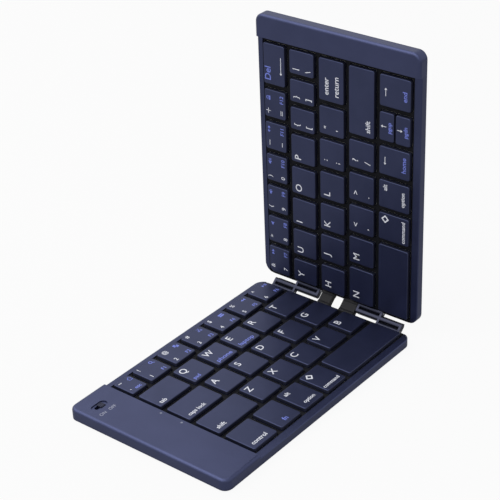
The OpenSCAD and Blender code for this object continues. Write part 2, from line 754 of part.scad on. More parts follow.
left_bottom_cover();
left_top_case();
left_end_cap();
left_support_plate();
left_membrane();
left_domes();
left_scissors();
left_feet();
left_screws();
left_hinge_brackets();
battery();
control_board();
charge_socket();
switch_body();
power_slider();
indicator_lenses();
rear_link();
front_link();
hinge_pins();
hinge_covers();
ribbon_cable();
right_bottom_cover();
right_top_case();
right_end_cap();
right_support_plate();
right_membrane();
right_domes();
right_scissors();
right_feet();
right_screws();
right_hinge_brackets();
key_esc();
keys_1_to_6();
key_tab();
keys_q_to_t();
key_caps_lock();
keys_a_to_g();
key_left_shift();
keys_z_to_b();
key_control();
key_fn();
key_left_option();
key_left_command();
key_left_space();
keys_7_to_equals();
key_delete();
keys_y_to_p();
keys_square_brackets();
key_backslash();
keys_h_to_quote();
key_enter();
keys_n_to_slash();
key_right_shift();
key_right_space();
key_right_command();
key_right_option();
key_arrow_left();
key_arrow_up();
key_arrow_down();
key_arrow_right();
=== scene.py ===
"""Looks of the folding keyboard: keycaps with their legends, end caps, finishes, light and camera."""

import math
from contextlib import contextmanager

import bmesh
import bpy
from mathutils import Matrix, Vector


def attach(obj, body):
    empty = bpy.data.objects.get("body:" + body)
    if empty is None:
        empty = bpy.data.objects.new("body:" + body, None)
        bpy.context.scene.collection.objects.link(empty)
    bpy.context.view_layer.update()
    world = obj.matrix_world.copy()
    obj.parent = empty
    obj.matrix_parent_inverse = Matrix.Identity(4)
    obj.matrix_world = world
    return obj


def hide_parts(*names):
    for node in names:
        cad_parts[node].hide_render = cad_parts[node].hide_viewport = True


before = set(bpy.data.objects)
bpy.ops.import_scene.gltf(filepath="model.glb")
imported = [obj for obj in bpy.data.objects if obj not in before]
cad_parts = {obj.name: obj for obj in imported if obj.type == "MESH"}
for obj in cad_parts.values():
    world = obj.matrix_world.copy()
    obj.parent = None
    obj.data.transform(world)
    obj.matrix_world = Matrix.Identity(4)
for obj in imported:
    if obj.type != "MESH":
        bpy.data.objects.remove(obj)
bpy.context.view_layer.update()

MM = 0.001

# ---- Sizes in millimetres, in a flat half: x from its hinge axis along a typed line ----
FOLD_X = 0.7
END_X = 151.9
BACK_Y = 49.5
PARTING_Z = 1.9
DECK_Z = 5.2
CAP_Z = 7.0
AXIS_Z = 3.8
LEFT_CAP_WIDTH = 24.8
RIGHT_CAP_WIDTH = 12.5
CAP_X = {"left": END_X - LEFT_CAP_WIDTH, "right": END_X - RIGHT_CAP_WIDTH}
LINK_ANGLE = math.radians(40)
AXIS_GAP = 6.6
PIVOT_X = (END_X - AXIS_GAP * math.cos(LINK_ANGLE) - AXIS_Z) / 2
RIGHT_AXIS = (PIVOT_X + AXIS_GAP * math.cos(LINK_ANGLE), AXIS_Z + AXIS_GAP * math.sin(LINK_ANGLE))

KEY_GAP = 3.3
KEY_DRAFT = 0.2
KEY_TOP_Z = 6.6
KEY_BASE_Z = 4.4
REAR_RIM = 4.5
ROW_BACK_Y = BACK_Y - REAR_RIM + KEY_GAP / 2
NUMBER_ROW_DEPTH = 16.55
LETTER_BACK_Y = ROW_BACK_Y - NUMBER_ROW_DEPTH
ROW_PITCH = 18.25
FRONT_ROW_DEPTH = 21.1
KEY_PITCH = 18.5
NARROW_PITCH = 15.4


def flat_to_model(side):
    """The move from a flat half to its place in the model, in metres."""
    if side == "left":
        return Matrix.Translation((PIVOT_X * MM, 0, 0))
    x, z = RIGHT_AXIS
    turn = Matrix.Rotation(math.radians(-90), 4, "Y")
    return Matrix.Translation((x * MM, 0, z * MM)) @ turn @ Matrix.Translation((0, 0, -AXIS_Z * MM))


# ---- Modelling by hand -----------------------------------------------------------------
FLAT = 0.999  # a face lies flat where its normal is this close to an axis


def deselect():
    bpy.ops.object.select_all(action="DESELECT")


def work_on(piece):
    deselect()
    piece.select_set(True)
    bpy.context.view_layer.objects.active = piece


def pick(piece, faces=None, edges=None):
    """Selects the faces or the edges that pass a test, in edit mode."""
    mesh = bmesh.from_edit_mesh(piece.data)
    for item in [*mesh.faces, *mesh.edges, *mesh.verts]:
        item.select = False
    if edges:
        bpy.context.tool_settings.mesh_select_mode = (False, True, False)
        for edge in mesh.edges:
            if edges(edge.verts[0].co, edge.verts[1].co):
                edge.select_set(True)
    if faces:
        bpy.context.tool_settings.mesh_select_mode = (False, False, True)
        for face in mesh.faces:
            if faces(face.calc_center_median(), face.normal):
                face.select_set(True)
    bmesh.update_edit_mesh(piece.data)


@contextmanager
def editing(piece, faces=None, edges=None):
    """Edit mode, with the faces or the edges selected that pass a test."""
    work_on(piece)
    bpy.ops.object.mode_set(mode="EDIT")
    pick(piece, faces, edges)
    yield
    bpy.ops.object.mode_set(mode="OBJECT")


def add_block(name, low, high):
    """A block between two corners, in millimetres."""
    deselect()
    middle = [(a + b) / 2 * MM for a, b in zip(low, high)]
    size = [(b - a) * MM for a, b in zip(low, high)]
    bpy.ops.mesh.primitive_cube_add(size=1, location=middle, scale=size)
    piece = bpy.context.object
    piece.name = piece.data.name = name
    bpy.ops.object.transform_apply(location=True, rotation=True, scale=True)
    return piece


def bevel_edges(piece, test, width, segments):
    with editing(piece, edges=test):
        bpy.ops.mesh.bevel(offset=width * MM, segments=segments, affect="EDGES", clamp_overlap=True)


def keep_level(piece, test, margin=0.04):
    """Insets flat faces by a hair, so that the rounding beside them doesn't bend their shine."""
    with editing(piece, faces=test):
        bpy.ops.mesh.inset(thickness=margin * MM, use_individual=True)


def cut(piece, *cutters):
    for cutter in cutters:
        work_on(piece)
        knife = piece.modifiers.new("cut", "BOOLEAN")
        knife.operation = "DIFFERENCE"
        knife.solver = "EXACT"
        knife.object = cutter
        bpy.ops.object.modifier_apply(modifier=knife.name)
        bpy.data.objects.remove(cutter, do_unlink=True)


def smooth(piece, angle=35):
    work_on(piece)
    bpy.ops.object.shade_smooth_by_angle(angle=math.radians(angle))


def copy_of(piece, name, move):
    """A copy with its own mesh, moved by millimetres."""
    twin = piece.copy()
    twin.data = piece.data.copy()
    twin.name = twin.data.name = name
    bpy.context.collection.objects.link(twin)
    twin.data.transform(Matrix.Translation([v * MM for v in move]))
    return twin


def join(name, pieces):
    deselect()
    for piece in pieces:
        piece.select_set(True)
    bpy.context.view_layer.objects.active = pieces[0]
    if len(pieces) > 1:
        bpy.ops.object.join()
    joined = bpy.context.object
    joined.name = joined.data.name = name
    return joined


def give(mesh, *materials):
    mesh.materials.clear()
    for material in materials:
        mesh.materials.append(material)


def settle(piece, move):
    """Moves a piece to its place in the model and writes the place into its mesh."""
    piece.matrix_world = move
    work_on(piece)
    bpy.ops.object.transform_apply(location=True, rotation=True, scale=True)


def near(a, b, reach=0.02):
    """Whether a place in metres is within reach of one in millimetres."""
    return abs(a - b * MM) < reach * MM


def upright(a, b, least=1.0):
    """Whether an edge rises by more than some millimetres."""
    return abs(a.z - b.z) > least * MM


# ---- Shader maths ----------------------------------------------------------------------
def linear(r, g, b):
    """A screen colour from 0 to 255 as the shader's own numbers."""
    def channel(value):
        share = value / 255
        return share / 12.92 if value <= 10 else ((share + 0.055) / 1.055) ** 2.4
    return channel(r), channel(g), channel(b), 1


class Signal:
    """An output of a node; on a value, Python's operators add the maths nodes."""

    def __init__(self, nodes, socket):
        self.nodes, self.socket = nodes, socket

    def maths(self, operation, *terms):
        return self.nodes.node("ShaderNodeMath", {"operation": operation}, terms)

    def __add__(self, other):
        return self.maths("ADD", self, other)

    def __radd__(self, other):
        return self.maths("ADD", other, self)

    def __sub__(self, other):
        return self.maths("SUBTRACT", self, other)

    def __rsub__(self, other):
        return self.maths("SUBTRACT", other, self)

    def __mul__(self, other):
        return self.maths("MULTIPLY", self, other)

    def __rmul__(self, other):
        return self.maths("MULTIPLY", other, self)

    def __gt__(self, other):
        return self.maths("GREATER_THAN", self, other)

    def __lt__(self, other):
        return self.maths("LESS_THAN", self, other)

    def __or__(self, other):
        return self.maths("MAXIMUM", self, other)

    def ramp(self, low, high):
        """Rises softly from 0 at low to 1 at high, and stays there."""
        return self.nodes.node("ShaderNodeMapRange", {"interpolation_type": "SMOOTHSTEP"},
                               {0: self, 1: low, 2: high, 3: 0.0, 4: 1.0})

    def between(self, least, most):
        """The value that lies between two others as the signal lies between 0 and 1."""
        return self.nodes.node("ShaderNodeMapRange", {}, {0: self, 3: least, 4: most})

    def beside(self, output):
        """Another output of the same node."""
        return Signal(self.nodes, self.socket.node.outputs[output])


class Nodes:
    """A node tree whose nodes all come from one method."""

    def __init__(self, tree):
        self.tree = tree

    def node(self, kind, settings=None, sockets=(), output=0):
        """A node of a type, with its settings made before its sockets are filled, as one of its outputs."""
        node = self.tree.nodes.new(kind)
        for key, value in (settings or {}).items():
            setattr(node, key, value)
        pairs = sockets.items() if isinstance(sockets, dict) else enumerate(sockets)
        for key, value in pairs:
            if isinstance(value, Signal):
                self.tree.links.new(value.socket, node.inputs[key])
            else:
                node.inputs[key].default_value = value
        return Signal(self, node.outputs[output])

    def feed(self, node, **signals):
        """Links signals to the sockets of a node that is there already."""
        for socket, signal in signals.items():
            self.tree.links.new(signal.socket, self.tree.nodes[node].inputs[socket.replace("_", " ")])

    def rays(self):
        """Whether a ray is the camera's, and whether it is that or came by way of metal or glass."""
        camera = self.node("ShaderNodeLightPath", output="Is Camera Ray")
        return camera, camera | camera.beside("Is Glossy Ray") | camera.beside("Is Transmission Ray")


class Finish(Nodes):
    """A procedural material around one Principled shader."""

    def __init__(self, name, **constants):
        self.material = bpy.data.materials.new(name)
        self.material.use_nodes = True
        super().__init__(self.material.node_tree)
        shader = self.tree.nodes["Principled BSDF"]
        for socket, value in constants.items():
            shader.inputs[socket.replace("_", " ")].default_value = value

    def place(self):
        return self.node("ShaderNodeTexCoord", output="Object")

    def axes(self):
        x = self.node("ShaderNodeSeparateXYZ", {}, [self.place()])
        return x, x.beside("Y"), x.beside("Z")

    def noise(self, scale, detail=2.0, place=None):
        return self.node("ShaderNodeTexNoise", {},
                         {"Vector": place or self.place(), "Scale": scale, "Detail": detail})

    def mix(self, amount, first, second):
        return self.node("ShaderNodeMix", {"data_type": "RGBA"}, {0: amount, 6: first, 7: second}, output=2)

    def bump(self, height, depth):
        return self.node("ShaderNodeBump", {}, {"Strength": 1.0, "Distance": depth, "Height": height})

    def surface(self, **signals):
        self.feed("Principled BSDF", **signals)
        return self.material


# ---- Finishes: scales of noise per metre, depths in metres ------------------------------
CLOUD_SCALE = 55.0
PORE_SCALE = 5200.0
PORE_DEPTH = 0.00001
GRAIN_ACROSS, GRAIN_ALONG = 9000.0, 500.0
GRAIN_DEPTH = 0.000006
FLECK_SCALE = 3000.0
SHEEN = 0.92  # Metallic of the tinted plastic


def clouded(f, colour, lighter):
    """Faint cloudiness between two colours: the noise and the colour."""
    cloud = f.noise(CLOUD_SCALE, 3.0)
    return cloud, f.mix(cloud.ramp(0.3, 0.75), colour, lighter)


def moulded(name, colour, lighter, roughness, pore_scale=PORE_SCALE, pore_depth=PORE_DEPTH, **constants):
    """Fine-grained moulded plastic, with faint cloudiness and a slightly rubbed sheen."""
    f = Finish(name, **constants)
    cloud, tint = clouded(f, colour, lighter)
    pores = f.noise(pore_scale, 1.0)
    return f.surface(Base_Color=tint, Normal=f.bump(pores, pore_depth),
                     Roughness=roughness + (cloud - 0.5) * 0.10 + (pores - 0.5) * 0.12)


def metal(name, colour, lighter, roughness, metallic=1.0):
    """Metal with a faint grain along y."""
    f = Finish(name, Metallic=metallic)
    x, y, z = f.axes()
    drawn_out = f.node("ShaderNodeCombineXYZ", {},
                       [x * GRAIN_ACROSS, y * GRAIN_ALONG, z * GRAIN_ACROSS])
    grain = f.noise(1.0, place=drawn_out)
    return f.surface(Base_Color=f.mix(grain.ramp(0.3, 0.7), colour, lighter),
                     Roughness=roughness + (grain - 0.5) * 0.16, Normal=f.bump(grain, GRAIN_DEPTH))


def printed(name, colour, fleck):
    """Screen-printed ink with tiny flecks."""
    f = Finish(name)
    grain = f.noise(FLECK_SCALE)
    return f.surface(Base_Color=f.mix(grain.ramp(0.35, 0.7), colour, fleck), Roughness=0.42 + grain * 0.1)


shell_plastic = moulded("shell_plastic", linear(62, 67, 96), linear(66, 71, 101), 0.42, Metallic=SHEEN)
cover_plastic = moulded("cover_plastic", linear(60, 64, 92), linear(64, 68, 96), 0.46, Metallic=SHEEN)
key_plastic = moulded("key_plastic", linear(56, 61, 88), linear(60, 65, 93), 0.42, Metallic=SHEEN)
# Painted shade: a darker colour for the sides of the keycaps, for the shade in the gaps between keys; also
# the power slider's own colour
key_side_shade_and_slider = moulded("key_side_shade_and_slider", linear(34, 37, 56), linear(38, 41, 61), 0.5, Metallic=0.6)
black_plastic = moulded("black_plastic", linear(11, 11, 15), linear(14, 14, 19), 0.55,
                        Specular_IOR_Level=0.2)
hinge_metal = metal("hinge_metal", linear(42, 44, 57), linear(49, 51, 66), 0.36, 0.85)
bright_steel = metal("bright_steel", linear(150, 151, 155), linear(170, 171, 175), 0.3)
soft_rubber = moulded("soft_rubber", linear(20, 20, 22), linear(25, 25, 27), 0.8, 3000.0, 0.00003)
clear_rubber = moulded("clear_rubber", linear(200, 202, 204), linear(214, 215, 216), 0.5)
pale_plastic = moulded("pale_plastic", linear(205, 206, 205), linear(218, 218, 216), 0.45)
film = moulded("film", linear(196, 196, 184), linear(206, 206, 194), 0.25)
amber_film = moulded("amber_film", linear(150, 92, 34), linear(168, 106, 42), 0.3)
board_green = moulded("board_green", linear(22, 70, 40), linear(28, 82, 48), 0.35)
battery_foil = metal("battery_foil", linear(176, 178, 182), linear(196, 198, 202), 0.35)
white_ink = printed("white_ink", linear(214, 216, 226), linear(226, 228, 236))
blue_ink = printed("blue_ink", linear(106, 120, 206), linear(114, 128, 216))
faint_ink = printed("faint_ink", linear(150, 153, 170), linear(160, 163, 180))
lens_milk = moulded("lens_milk", linear(118, 122, 140), linear(128, 132, 150), 0.2)

# Where the deck's colour turns to the painted shade of the sunk key bed
BED_FRONT_Y = -45.3
BED_BACK_Y = 46.2
BED_Z = DECK_Z - 0.3  # between the deck and the sunk key bed
BED_BLUR = 0.05


def deck_finish(name, height):
    """The top case: shell plastic at the rims, and a nearly black painted shade in the sunk key bed, for
    the shade between the keys.

    height turns the three axes of the model into the height of a point in its flat half, in metres.
    """
    f = Finish(name, Specular_IOR_Level=0.15)
    cloud, shell = clouded(f, linear(58, 63, 90), linear(62, 67, 95))
    axes = f.axes()
    y = axes[1]
    low = height(axes).ramp((BED_Z + BED_BLUR) * MM, (BED_Z - BED_BLUR) * MM)
    # Painted shade: the key bed below BED_Z, between the rims, gets a nearly black colour for the shade
    # between the keys
    inside = (y > BED_FRONT_Y * MM) * (y < BED_BACK_Y * MM) * low
    return f.surface(Base_Color=f.mix(inside, shell, linear(10, 11, 17)),
                     Metallic=SHEEN - inside * SHEEN,
                     Roughness=0.42 + (cloud - 0.5) * 0.10 + inside * 0.25,
                     Normal=f.bump(f.noise(PORE_SCALE, 1.0), PORE_DEPTH))


left_deck = deck_finish("left_deck", lambda axes: axes[2])
right_deck = deck_finish("right_deck", lambda axes: (RIGHT_AXIS[0] + AXIS_Z) * MM - axes[0])

NODE_FINISHES = {
    "left_top_case": left_deck, "right_top_case": right_deck,
    "left_bottom_cover": cover_plastic, "right_bottom_cover": cover_plastic,
    "left_support_plate": bright_steel, "right_support_plate": bright_steel,
    "left_membrane": film, "right_membrane": film,
    "left_domes": clear_rubber, "right_domes": clear_rubber,
    "left_scissors": pale_plastic, "right_scissors": pale_plastic,
    "left_feet": soft_rubber, "right_feet": soft_rubber,
    "left_screws": bright_steel, "right_screws": bright_steel,
    "left_hinge_brackets": hinge_metal, "right_hinge_brackets": hinge_metal,
    "rear_link": hinge_metal, "front_link": hinge_metal, "hinge_pins": bright_steel,
    "hinge_covers": black_plastic, "ribbon_cable": amber_film,
    "battery": battery_foil, "control_board": board_green,
    "charge_socket": bright_steel, "switch_body": bright_steel,
    "power_slider": key_side_shade_and_slider, "indicator_lenses": lens_milk,
}
for node, material in NODE_FINISHES.items():
    give(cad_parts[node].data, material)


# ---- Keycaps ---------------------------------------------------------------------------
# Each row, from the back: where its evenly spaced keys start from the fold, how many are spaced by the
# key pitch, and how many more by the narrow pitch
ROWS = {
    "left": [(19.2, 5, 0), (25.9, 4, 0), (23.4, 4, 0), (18.6, 4, 0), (49.3, 3, 0)],
    "right": [(20, 5, 0), (17.1, 4, 2), (19.5, 5, 0), (24.3, 4, 0), (44.1, 4, 0)],
}
NUMBER_ROW = 0
FRONT_ROW = 4
FIRST_GAP = 2.4
LAST_GAP = 2.5
WHOLE, BACK_HALF, FRONT_HALF = 0, 1, -1
SPLIT_GAP = 1.0


def key_cell(side, row, place, part):
    """The top face of a key as (left, right, front, back) in its flat half."""
    first, wide, narrow = ROWS[side][row]
    borders = [FIRST_GAP - KEY_GAP / 2] + [first + i * KEY_PITCH for i in range(wide + 1)]
    borders += [first + wide * KEY_PITCH + i * NARROW_PITCH for i in range(1, narrow + 1)]
    borders.append(CAP_X[side] - FOLD_X - LAST_GAP + KEY_GAP / 2)
    if row == NUMBER_ROW:
        back, front = ROW_BACK_Y, LETTER_BACK_Y
    else:
        back = LETTER_BACK_Y - (row - 1) * ROW_PITCH
        front = back - (FRONT_ROW_DEPTH if row == FRONT_ROW else ROW_PITCH)
    middle = (front + back) / 2
    if part == BACK_HALF:
        front = middle - (KEY_GAP - SPLIT_GAP) / 2
    if part == FRONT_HALF:
        back = middle + (KEY_GAP - SPLIT_GAP) / 2
    low = FOLD_X + borders[place] + KEY_GAP / 2
    high = FOLD_X + borders[place + 1] - KEY_GAP / 2
    if side == "left":
        low, high = -high, -low
    return low, high, front + KEY_GAP / 2, back - KEY_GAP / 2


KEY_SKIRT = 1.0
KEY_TOP_WALL = 0.8
KEY_CORNER = 1.1
FOLD_CORNER = 3.0
KEY_RIM = 0.32
# Faces whose normal rises less than this take the darker side colour, painted shade for the gaps
SIDE_SLOPE = 0.35


def hollow_out(cap):
    """Opens the underside of a keycap, which leaves its skirt and its top wall."""
    depth = KEY_TOP_Z - KEY_TOP_WALL - KEY_BASE_Z
    with editing(cap, faces=lambda c, n: n.z < -FLAT):
        bpy.ops.mesh.inset(thickness=KEY_SKIRT * MM)
        bpy.ops.mesh.extrude_region_move(TRANSFORM_OT_translate={"value": (0, 0, depth * MM)})


def keycap(cell, rounded_side):
    """A keycap with drafted sides, rounded corners and a rounded rim; its sides take a darker colour as
    painted shade.

    rounded_side is the half where this cap fills the rounder corner at the fold, or None.
    """
    x0, x1, y0, y1 = cell
    d = KEY_DRAFT
    cap = add_block("cap", (x0 - d, y0 - d, KEY_BASE_Z), (x1 + d, y1 + d, KEY_TOP_Z))
    middle = ((x0 + x1) / 2 * MM, (y0 + y1) / 2 * MM, KEY_TOP_Z * MM)
    shrink = ((x1 - x0) / (x1 - x0 + 2 * d), (y1 - y0) / (y1 - y0 + 2 * d), 1)
    with editing(cap, faces=lambda c, n: n.z > FLAT):
        bpy.ops.transform.resize(value=shrink, center_override=middle)
    if rounded_side:
        fold_side = x1 if rounded_side == "left" else x0

        def at_fold(a, reach):
            return near(a.x, fold_side, reach) and near(a.y, y1, reach)

        bevel_edges(cap, lambda a, b: upright(a, b) and at_fold(a, 0.5), FOLD_CORNER, 8)
        bevel_edges(cap, lambda a, b: upright(a, b) and not at_fold(a, 5), KEY_CORNER, 5)
    else:
        bevel_edges(cap, upright, KEY_CORNER, 5)
    bevel_edges(cap, lambda a, b: near(a.z, KEY_TOP_Z) and near(b.z, KEY_TOP_Z), KEY_RIM, 3)
    keep_level(cap, lambda c, n: n.z > FLAT)
    hollow_out(cap)
    smooth(cap)
    give(cap.data, key_plastic, key_side_shade_and_slider)
    # Painted shade: the steep sides take the darker second colour, for the shade in the gaps between keys
    for face in cap.data.polygons:
        face.material_index = 0 if face.normal.z > SIDE_SLOPE else 1
    return cap


cap_patterns = {}


def keycap_for(side, row, place, part):
    """A copy of the one keycap of its size, at its place."""
    cell = key_cell(side, row, place, part)
    x0, x1, y0, y1 = cell
    rounded_side = side if row == NUMBER_ROW and place == 0 else None
    size = (round(x1 - x0, 2), round(y1 - y0, 2), rounded_side)
    if size not in cap_patterns:
        cap_patterns[size] = (keycap(cell, rounded_side), x0, y0)
    pattern, pattern_x, pattern_y = cap_patterns[size]
    return copy_of(pattern, "cap", (x0 - pattern_x, y0 - pattern_y, 0))


# ---- Printed shapes: outlines as offsets from a middle, in millimetres ------------------
KEY_PRINT_Z = KEY_TOP_Z - 0.004
CAP_PRINT_Z = CAP_Z + 0.005
PRINT_HEIGHT = 0.02
BOLD = 0.05
MEDIUM = 0.04


def box(x0, x1, y0, y1):
    return [(x0, y0), (x1, y0), (x1, y1), (x0, y1)]


def circle(radius, x=0.0, y=0.0, sides=14):
    turns = [2 * math.pi * i / sides for i in range(sides)]
    return [(x + radius * math.cos(t), y + radius * math.sin(t)) for t in turns]


def ring(outer, inner, x=0.0, y=0.0, sides=20):
    """A ring in one outline, round the outside and back round the inside."""
    outside, inside = circle(outer, x, y, sides), circle(inner, x, y, sides)
    return outside + outside[:1] + inside[:1] + inside[::-1]


def arrow(length, turn, head=1.1, stroke=0.34):
    """An arrow, turned by degrees from one that points along x."""
    half, wing, stem = length / 2, head * 0.7, stroke / 2
    outline = [(-half, -stem), (half - head, -stem), (half - head, -wing), (half, 0),
               (half - head, wing), (half - head, stem), (-half, stem)]
    c, s = math.cos(math.radians(turn)), math.sin(math.radians(turn))
    return [(c * a - s * b, s * a + c * b) for a, b in outline]


def diamond(reach=2.3, wall=0.45):
    """A square ring on its corner."""
    return ring(reach, reach * (1 - wall), sides=4)


def play_head(x, way):
    """A small triangle that points along x for way 1 and back for way -1."""
    return [(x - 0.7 * way, -0.95), (x + 0.8 * way, 0), (x - 0.7 * way, 0.95)]


def sound_wave(x):
    """A small upright bar, which is longer farther from the horn."""
    reach = 0.5 + x * 0.4
    return box(x - 0.12, x + 0.18, -reach, reach)


HOUSE = [(-1.6, 0.1), (0, 1.5), (1.6, 0.1), (1.1, 0.1), (1.1, -1.3), (-1.1, -1.3), (-1.1, 0.1), (-1.6, 0.1)]
ROOM = [(-0.85, 0.4), (0, 1.1), (0.85, 0.4), (0.85, 0.1), (0.85, -1.05), (-0.85, -1.05), (-0.85, 0.1),
        (-0.85, 0.4)]
LENS_GRIP = [(0.4, -0.6), (0.7, -0.3), (1.5, -1.1), (1.2, -1.4)]
BLADE = [(-0.7, -0.5), (-0.4, -0.5), (1.0, 1.4), (0.7, 1.4)]
HORN = [(-1.6, -0.5), (-0.9, -0.5), (0, -1.2), (0, 1.2), (-0.9, 0.5), (-1.6, 0.5)]

# Small plain signs about 3 mm wide
PICTOGRAMS = {
    "home": [HOUSE + ROOM[::-1]],
    "search": [ring(1.1, 0.7, -0.3, 0.3), LENS_GRIP],
    "cut": [ring(0.6, 0.3, -0.9, -0.9, 12), ring(0.6, 0.3, 0.9, -0.9, 12),
            BLADE, [(-a, b) for a, b in BLADE]],
    "copy": [box(-1.3, 0.3, -0.6, 1.4), box(-0.2, 1.4, -1.4, 0.4)],
    "keys": [box(-1.6, 1.6, 0.2, 1.2), box(-1.6, 1.6, -1.1, -0.1)],
    "back": [play_head(-0.8, -1), play_head(0.8, -1)],
    "next": [play_head(-0.8, 1), play_head(0.8, 1)],
    "play": [play_head(-0.7, 1), box(0.6, 1.0, -0.95, 0.95), box(1.4, 1.8, -0.95, 0.95)],
    "mute": [HORN],
    "quiet": [HORN, sound_wave(0.55)],
    "loud": [HORN, sound_wave(0.55), sound_wave(1.15)],
    "lock": [box(-1.1, 1.1, -1.3, 0.3), ring(0.95, 0.6, 0.0, 0.4, 16)],
    "link": [circle(0.75, -0.9), circle(0.75, 0.9), box(-0.9, 0.9, -0.2, 0.2)],
}

# Signs that are printed wider than the font's, from the left end of their base line
WIDE_SIGNS = {
    "_": [box(0.1, 3.0, 0.5, 0.85)],
    "-": [box(0.6, 3.0, 0.9, 1.25)],
    "+": [box(0.1, 2.9, 1.0, 1.35), box(1.33, 1.67, -0.22, 2.57)],
    "=": [box(0.2, 2.8, 0.55, 0.87), box(0.2, 2.8, 1.45, 1.77)],
}


def plate(outline, x, y, ink):
    """An outline as a thin printed plate around x, y."""
    mesh = bpy.data.meshes.new("mark")
    form = bmesh.new()
    base = (KEY_PRINT_Z - PRINT_HEIGHT / 2) * MM
    form.faces.new([form.verts.new(((x + a) * MM, (y + b) * MM, base)) for a, b in outline])
    grown = bmesh.ops.extrude_face_region(form, geom=form.faces[:])
    for vert in grown["geom"]:
        if isinstance(vert, bmesh.types.BMVert):
            vert.co.z += PRINT_HEIGHT * MM
    bmesh.ops.recalc_face_normals(form, faces=form.faces[:])
    form.to_mesh(mesh)
    form.free()
    mark = bpy.data.objects.new("mark", mesh)
    bpy.context.collection.objects.link(mark)
    give(mesh, ink)
    return mark


def plates(outlines, x, y, ink):
    return [plate(outline, x, y, ink) for outline in outlines]


def lettering(text, x, y, size, ink, weight, width=1.0, align="LEFT", z=KEY_PRINT_Z):
    """Printed words, with x and y of their base line in millimetres."""
    deselect()
    bpy.ops.object.text_add(location=(0, 0, 0))
    font = bpy.context.object.data
    font.body = text
    font.size = size * MM
    font.align_x = align
    font.resolution_u = 4
    font.offset = weight * MM
    font.extrude = PRINT_HEIGHT / 2 * MM
    bpy.ops.object.convert(target="MESH")
    words = bpy.context.object
    words.data.transform(Matrix.Translation((x * MM, y * MM, z * MM)) @ Matrix.Diagonal((width, 1, 1, 1)))
    give(words.data, ink)
    return words


# ---- Legends: functions of the left, front and back border of a key's printed field -----
LETTER_SIZE = 5.6
LETTER_IN, LETTER_DOWN = 1.9, 6.1
SIGN_SIZE = 3.5
SYMBOL_IN, SYMBOL_DOWN = 2.2, 3.3
DIGIT_IN, DIGIT_UP = 2.3, 1.9
PICTOGRAM_IN, PICTOGRAM_DOWN = 11.0, 2.3
FUNCTION_SIZE = 3.15
FUNCTION_IN, FUNCTION_UP = 11.2, 1.9
PAIR_IN, UPPER_DOWN, LOWER_UP = 2.6, 5.4, 2.6
TILDE_SIZE = 3.8


def letter(text):
    return lambda left, front, back: [
        lettering(text, left + LETTER_IN, back - LETTER_DOWN, LETTER_SIZE, white_ink, BOLD)]


def sign(text, x, y):
    """The marks of a small white sign."""
    if text in WIDE_SIGNS:
        return plates(WIDE_SIGNS[text], x, y, white_ink)
    return [lettering(text, x, y, SIGN_SIZE, white_ink, MEDIUM)]


def number(symbol, digit, pictogram, function, blue_x=0.0, blue_y=0.0):
    """A symbol over a digit in white, and a pictogram over a function in blue."""
    def legend(left, front, back):
        blue_left, blue_back = left + blue_x, back + blue_y
        return [
            *sign(symbol, left + SYMBOL_IN, back - SYMBOL_DOWN),
            *sign(digit, left + DIGIT_IN, front + DIGIT_UP),
            *plates(PICTOGRAMS[pictogram], blue_left + PICTOGRAM_IN, blue_back - PICTOGRAM_DOWN, blue_ink),
            lettering(function, blue_left + FUNCTION_IN, front + FUNCTION_UP, FUNCTION_SIZE, blue_ink,
                      MEDIUM, align="CENTER")]
    return legend


def pair(upper, lower, dx=0.0, size=4.4, lower_dy=0.0):
    return lambda left, front, back: [
        lettering(upper, left + PAIR_IN + dx, back - UPPER_DOWN, size, white_ink, MEDIUM),
        lettering(lower, left + PAIR_IN + dx, front + LOWER_UP + lower_dy, size, white_ink, MEDIUM)]


def word(text, size=3.5, x=1.7, y=1.8, ink=white_ink, width=1.0):
    """A word, with its base line from the left and the front border."""
    return lambda left, front, back: [lettering(text, left + x, front + y, size, ink, BOLD, width)]


def drawn(outline, x, y):
    """A white shape, with its middle from the left and the front border."""
    return lambda left, front, back: [plate(outline, left + x, front + y, white_ink)]


def tilde_and_esc(left, front, back):
    return [lettering("~", left + 1.6, back - 3.5, TILDE_SIZE, white_ink, BOLD),
            *plates(PICTOGRAMS["home"], left + 8.8, back - 3.25, blue_ink),
            lettering("`", left + 1.8, front + 1.4, TILDE_SIZE, white_ink, BOLD),
            lettering("esc", left + 4.6, front + 1.9, 3.2, blue_ink, MEDIUM)]


def several(*legends):
    return lambda left, front, back: [mark for legend in legends for mark in legend(left, front, back)]


# ---- Keys: each has its row from the back, its place from the fold and its legend --------
# The print isn't centred alike on every key, so a legend has its own shift in x and y
def key(row, place, legend=None, shift=(0, 0), part=WHOLE):
    return row, place, part, legend, shift


def letters(side, row, text, shifts):
    """The letter keys next to the fold, from left to right."""
    places = range(len(text)) if side == "right" else reversed(range(len(text)))
    return [key(row, place, letter(text[i]), shifts[i]) for i, place in enumerate(places)]


